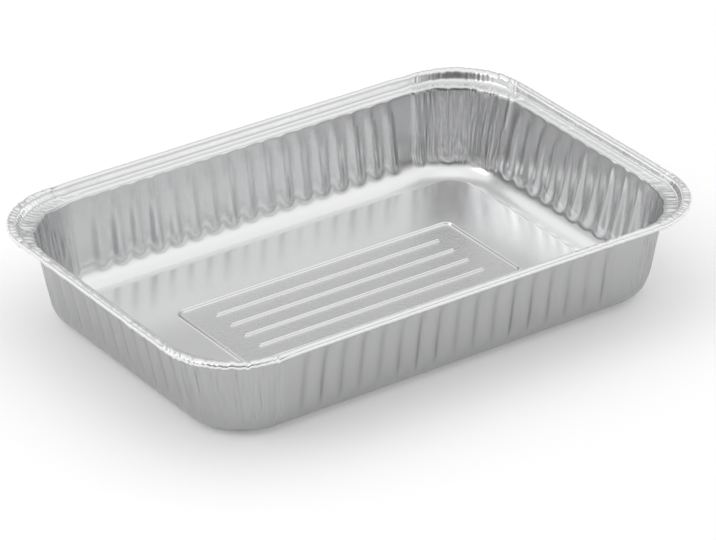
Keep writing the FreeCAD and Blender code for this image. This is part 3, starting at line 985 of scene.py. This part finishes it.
    def _raise_bead(self, mesh: bpy.types.Mesh, loops: list[Loop], place: float,
                    level: float) -> None:
        """Add a ring on the floor and extrude it over a bead's section.

        Args:
            mesh: The mesh in edit mode.
            loops: The bead's loops, each as half length, half width, corner and rise.
            place: Where the bead's middle lies, in Y.
            level: Height of the floor.
        """
        steps = self.bead_corner_steps
        bpy.ops.mesh.select_all(action="DESELECT")
        bpy.ops.mesh.primitive_circle_add(vertices=4 * (steps + 1),
                                          radius=self.frame_width / 2)
        sheet = bmesh.from_edit_mesh(mesh)
        tag = sheet.verts.layers.int["place"]
        fresh = [vertex for vertex in sheet.verts if vertex.select]
        for index, vertex in enumerate(fresh):
            vertex[tag] = index
        for number, (half_x, half_y, corner, rise) in enumerate(loops):
            if number:
                bpy.ops.mesh.extrude_region_move()
            sheet = bmesh.from_edit_mesh(mesh)
            tag = sheet.verts.layers.int["place"]
            for vertex in sheet.verts:
                if vertex.select:
                    quarter, step = divmod(vertex[tag], steps + 1)
                    angle = math.radians(90.0) * (quarter + step / steps)
                    sign_x = 1 if quarter in (0, 3) else -1
                    sign_y = 1 if quarter in (0, 1) else -1
                    vertex.co = (sign_x * (half_x - corner) + corner * math.cos(angle),
                                 place + sign_y * (half_y - corner)
                                 + corner * math.sin(angle), level + rise)
            bmesh.update_edit_mesh(mesh)

    def _fill_ground(self, mesh: bpy.types.Mesh, level: float) -> None:
        """Fill the flat floor outside the frame, then inside it around the ribs' cells."""
        flatness, clearance = 0.01 * MM, 0.1 * MM
        for outside in (True, False):
            sheet = bmesh.from_edit_mesh(mesh)
            bpy.ops.mesh.select_all(action="DESELECT")
            for edge in sheet.edges:
                if not edge.is_boundary:
                    continue
                if any(abs(vertex.co.z - level) > flatness for vertex in edge.verts):
                    continue
                reach = max(abs(vertex.co.x) for vertex in edge.verts)
                wide = max(abs(vertex.co.y) for vertex in edge.verts)
                beyond = (reach > self.frame_length / 2 + clearance
                          or wide > self.frame_width / 2 + clearance)
                if beyond == outside:
                    edge.select = True
            sheet.select_flush_mode()
            bmesh.update_edit_mesh(mesh)
            bpy.ops.mesh.fill(use_beauty=True)
        self._open_cells(mesh)

    def _open_cells(self, mesh: bpy.types.Mesh) -> None:
        """Take away the fresh floor that the last fill laid over the ribs' cells."""
        bpy.ops.mesh.select_mode(type="FACE")
        reach = self.rib_length / 2 + self.cell_margin
        wide = self.ribs * self.rib_pitch / 2
        sheet = bmesh.from_edit_mesh(mesh)
        for face in sheet.faces:
            centre = face.calc_center_median()
            if face.select and (abs(centre.x) > reach or abs(centre.y) > wide):
                face.select = False
        bmesh.update_edit_mesh(mesh)
        bpy.ops.mesh.delete(type="FACE")
        bpy.ops.mesh.select_mode(type="VERT")


# ==== Stage ====
@dataclass
class Studio:
    """White table, soft studio light and the camera.

    Attributes:
        table_size: Edge length of the table top.
        azimuth: Where the camera stands, in degrees from -Y towards -X.
        elevation: How high the camera looks down from, in degrees.
        roll: How far the camera is rolled, in degrees.
        target: The point that it looks at.
        distance: How far it stands from that point.
        lens: Its focal length in millimetres.
        sensor: Width of its sensor in millimetres.
        sight: How far it sees.
        softbox_place: Where the soft box hangs. It faces the pan.
        softbox_size: Edge length of the soft box.
        softbox_power: Its power in watts.
        glow: Strength of the surroundings.
        glow_by_height: Share of it by height, from the horizon at 0 to overhead at 1.
        dim_way: Direction in which they are dimmer, in X and Y, half a unit long.
        glow_by_way: Share of it by direction, from opposite dim_way at 0 to along it at 1.
        finish: The table's finish.
    """

    table_size: float = 6.0
    azimuth: float = 34.8
    elevation: float = 28.45
    roll: float = -0.40
    target: tuple[float, float, float] = (-0.94 * MM, -5.81 * MM, 15.0 * MM)
    distance: float = 1.6771
    lens: float = 237.95
    sensor: float = 36.0
    sight: float = 50.0
    softbox_place: tuple[float, float, float] = (-1.6, 0.5, 1.3)
    softbox_size: float = 1.0
    softbox_power: float = 3.3
    glow: float = 2.9
    glow_by_height: Stops = ((0.0, 0.68), (0.15, 0.27), (0.30, 0.25), (0.45, 0.21),
                             (0.60, 0.34), (0.78, 0.37), (0.92, 0.34), (1.0, 0.38))
    dim_way: tuple[float, float] = (-0.285, -0.41)
    glow_by_way: Stops = ((0.06, 0.8), (0.25, 1.0), (0.72, 1.0), (0.87, 0.55), (0.96, 0.20))
    finish: TableFinish = field(default_factory=TableFinish)

    def build(self) -> None:
        """Set up the table, the soft box, the surroundings and the camera."""
        self._lay_table()
        self._hang_softbox()
        self._surround()
        self._place_camera()

    def _lay_table(self) -> None:
        """Lay the table top under the pan."""
        deselect_all()
        bpy.ops.mesh.primitive_plane_add(size=self.table_size)
        table = bpy.context.object
        table.name = table.data.name = "table_top"
        table.data.materials.append(self.finish.build())
        LOG.info("%s laid", table.name)

    def _hang_softbox(self) -> None:
        """Hang the soft box that lifts the shadow on the left."""
        place = Vector(self.softbox_place)
        deselect_all()
        bpy.ops.object.light_add(type="AREA", location=place)
        lamp = bpy.context.object
        lamp.name = lamp.data.name = "side_softbox"
        lamp.data.shape = "SQUARE"
        lamp.data.size = self.softbox_size
        lamp.data.energy = self.softbox_power
        lamp.rotation_euler = place.to_track_quat("Z", "Y").to_euler()
        LOG.info("%s hung", lamp.name)

    def _surround(self) -> None:
        """Give the surroundings their soft light, brightest at the horizon, dimmer one way."""
        world = bpy.data.worlds.new("soft_surroundings")
        bpy.context.scene.world = world
        world.use_nodes = True
        shader = Shader(world.node_tree)
        ray = shader.node("ShaderNodeTexCoord").outputs["Generated"]
        ways = shader.node("ShaderNodeSeparateXYZ", _0=ray).outputs
        way_x, way_y = self.dim_way
        facing = Value(shader, ways["X"]) * way_x + Value(shader, ways["Y"]) * way_y + 0.5
        sky = Value(shader, ways["Z"]).ramp(*self.glow_by_height)
        sky = sky * facing.ramp(*self.glow_by_way)
        glow = shader.node("ShaderNodeBackground", Color=sky, Strength=self.glow)
        shader.node("ShaderNodeOutputWorld", Surface=glow.outputs["Background"])
        bpy.context.scene.view_settings.view_transform = "Standard"

    def _place_camera(self) -> None:
        """Stand the camera at its place."""
        azimuth, elevation = math.radians(self.azimuth), math.radians(self.elevation)
        back = Vector((-math.sin(azimuth) * math.cos(elevation),
                       -math.cos(azimuth) * math.cos(elevation), math.sin(elevation)))
        right = UP.cross(back).normalized()
        up = back.cross(right)
        turn = Matrix.Rotation(math.radians(self.roll), 3, back)
        facing = Matrix((turn @ right, turn @ up, back)).transposed()
        deselect_all()
        bpy.ops.object.camera_add(location=Vector(self.target) + back * self.distance)
        camera = bpy.context.object
        camera.name = camera.data.name = "studio_camera"
        camera.rotation_euler = facing.to_euler()
        camera.data.lens = self.lens
        camera.data.sensor_width = self.sensor
        camera.data.clip_end = self.sight
        bpy.context.scene.camera = camera
        LOG.info("%s placed", camera.name)


def main() -> None:
    """Build the studio and the pan, the pan at the sizes of the imported parts."""
    logging.basicConfig(level=logging.INFO, format="%(name)s: %(message)s")
    low, high = CAD_BOX
    Studio().build()
    FoilPan(length=high[0] - low[0], width=high[1] - low[1], height=high[2] - low[2]).build()


if __name__ == "__main__":
    main()
